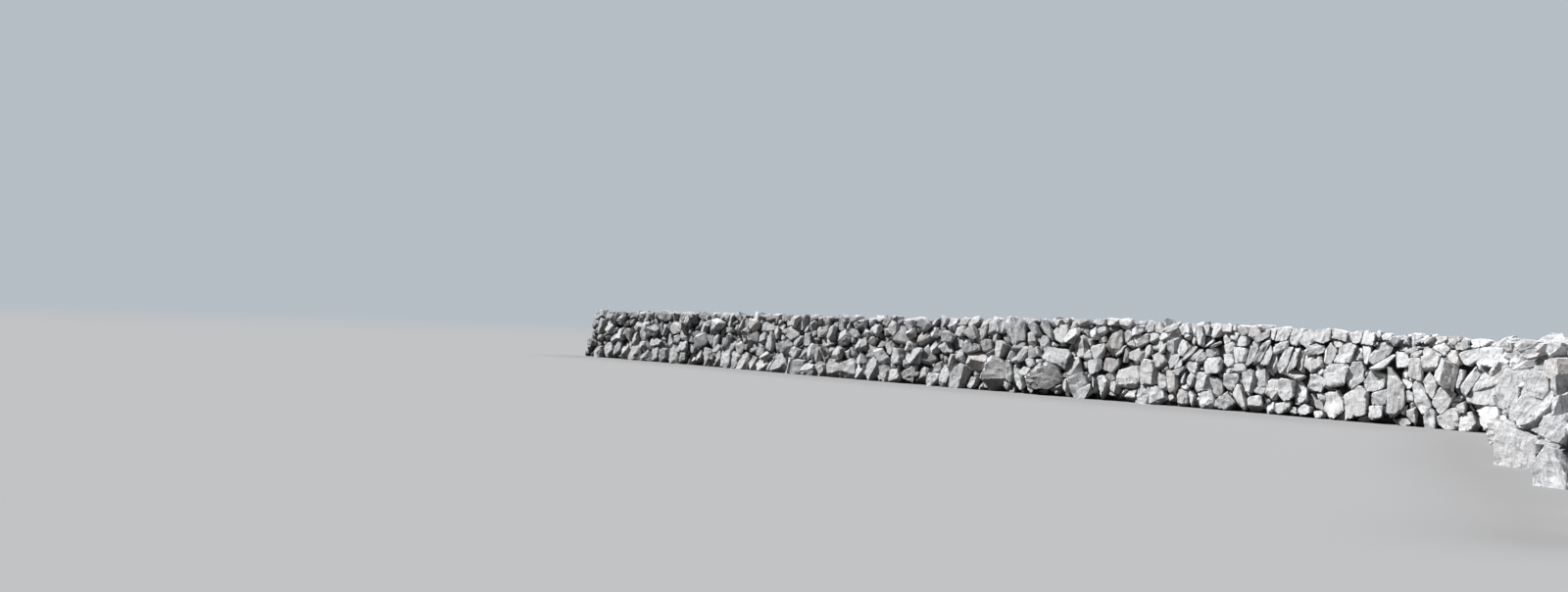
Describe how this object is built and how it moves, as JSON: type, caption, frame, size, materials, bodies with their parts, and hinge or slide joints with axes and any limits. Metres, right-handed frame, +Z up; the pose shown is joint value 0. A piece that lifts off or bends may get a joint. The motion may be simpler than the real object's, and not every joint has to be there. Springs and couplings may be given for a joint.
{
  "type": "dry stone wall",
  "caption": "Battered dry stone field wall of weathered limestone with a boulder footing, rough lifts of face stones and a ragged cope; straight runs meet at a rounded corner.",
  "frame": {"origin": "on the ground under the corner, where the centre lines of the long run and the return run meet", "axes": "+X along the long run from the wall head to the corner, +Y towards the back of the long run, +Z up"},
  "size_m": [27.4258, 12.083, 1.6985],
  "materials": {
    "footing_limestone": "rough weathered boulders, lichened",
    "lift_limestone": "rough weathered face stones",
    "cope_limestone": "rough sun-bleached slabs"
  },
  "bodies": {
    "root": {"head_footing": "footing_limestone", "head_first_lift": "lift_limestone", "head_second_lift": "lift_limestone", "head_cope": "cope_limestone", "long_bay_1_footing": "footing_limestone", "long_bay_1_first_lift": "lift_limestone", "long_bay_1_second_lift": "lift_limestone", "long_bay_1_cope": "cope_limestone", "long_bay_2_footing": "footing_limestone", "long_bay_2_first_lift": "lift_limestone", "long_bay_2_second_lift": "lift_limestone", "long_bay_2_cope": "cope_limestone", "long_bay_3_footing": "footing_limestone", "long_bay_3_first_lift": "lift_limestone", "long_bay_3_second_lift": "lift_limestone", "long_bay_3_cope": "cope_limestone", "long_bay_4_footing": "footing_limestone", "long_bay_4_first_lift": "lift_limestone", "long_bay_4_second_lift": "lift_limestone", "long_bay_4_cope": "cope_limestone", "corner_footing": "footing_limestone", "corner_first_lift": "lift_limestone", "corner_second_lift": "lift_limestone", "corner_cope": "cope_limestone", "return_bay_1_footing": "footing_limestone", "return_bay_1_first_lift": "lift_limestone", "return_bay_1_second_lift": "lift_limestone", "return_bay_1_cope": "cope_limestone", "return_bay_2_footing": "footing_limestone", "return_bay_2_first_lift": "lift_limestone", "return_bay_2_second_lift": "lift_limestone", "return_bay_2_cope": "cope_limestone"}
  },
  "joints": []
}
